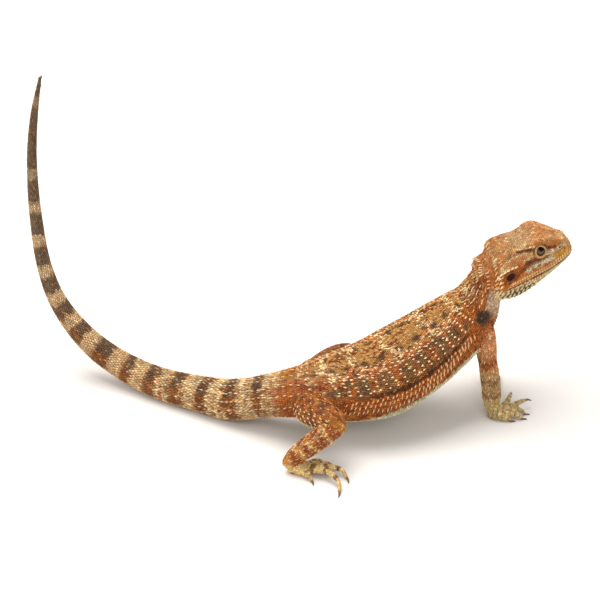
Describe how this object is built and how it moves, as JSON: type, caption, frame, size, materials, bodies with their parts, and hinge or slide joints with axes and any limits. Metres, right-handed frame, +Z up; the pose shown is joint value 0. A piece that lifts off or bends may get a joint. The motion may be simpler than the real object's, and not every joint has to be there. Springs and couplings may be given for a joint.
{
  "type": "central bearded dragon",
  "caption": "Life-size young bearded dragon standing with chest and head raised, broad spiny flanks, a fringe of throat spines and a long tail swept up behind.",
  "frame": {"origin": "middle of the box's underside, on the floor that the feet and the tail rest on", "axes": "+X towards the head, +Y the animal's left side, +Z up"},
  "size_m": [0.24, 0.116, 0.1418],
  "materials": {
    "orange_skin": "matt scaly skin, rust orange with pale lattice",
    "pale_throat": "matt scaly skin, pale with a spiny beard",
    "banded_tail": "matt keeled scales in tan and grey-brown bands",
    "eye": "wet gloss",
    "claw_horn": "dark horn, satin"
  },
  "bodies": {
    "root": {"claw_hand_left_1": "claw_horn", "claw_hand_left_2": "claw_horn", "claw_hand_left_3": "claw_horn", "claw_hand_left_4": "claw_horn", "claw_hand_left_5": "claw_horn", "claw_hand_right_1": "claw_horn", "claw_hand_right_2": "claw_horn", "claw_hand_right_3": "claw_horn", "claw_hand_right_4": "claw_horn", "claw_hand_right_5": "claw_horn", "claw_hind_foot_left_1": "claw_horn", "claw_hind_foot_left_2": "claw_horn", "claw_hind_foot_left_3": "claw_horn", "claw_hind_foot_left_4": "claw_horn", "claw_hind_foot_left_5": "claw_horn", "claw_hind_foot_right_1": "claw_horn", "claw_hind_foot_right_2": "claw_horn", "claw_hind_foot_right_3": "claw_horn", "claw_hind_foot_right_4": "claw_horn", "claw_hind_foot_right_5": "claw_horn", "eye_left": "eye", "eye_right": "eye", "forearm_left": "orange_skin", "forearm_right": "orange_skin", "hand_left": "orange_skin", "hand_right": "orange_skin", "head": "orange_skin", "hind_foot_left": "orange_skin", "hind_foot_right": "orange_skin", "lower_jaw": "pale_throat", "neck": "orange_skin", "shank_left": "orange_skin", "shank_right": "orange_skin", "tail_1": "banded_tail", "tail_2": "banded_tail", "tail_3": "banded_tail", "tail_4": "banded_tail", "tail_5": "banded_tail", "thigh_left": "orange_skin", "thigh_right": "orange_skin", "torso": "orange_skin", "upper_arm_left": "orange_skin", "upper_arm_right": "orange_skin"}
  },
  "joints": []
}
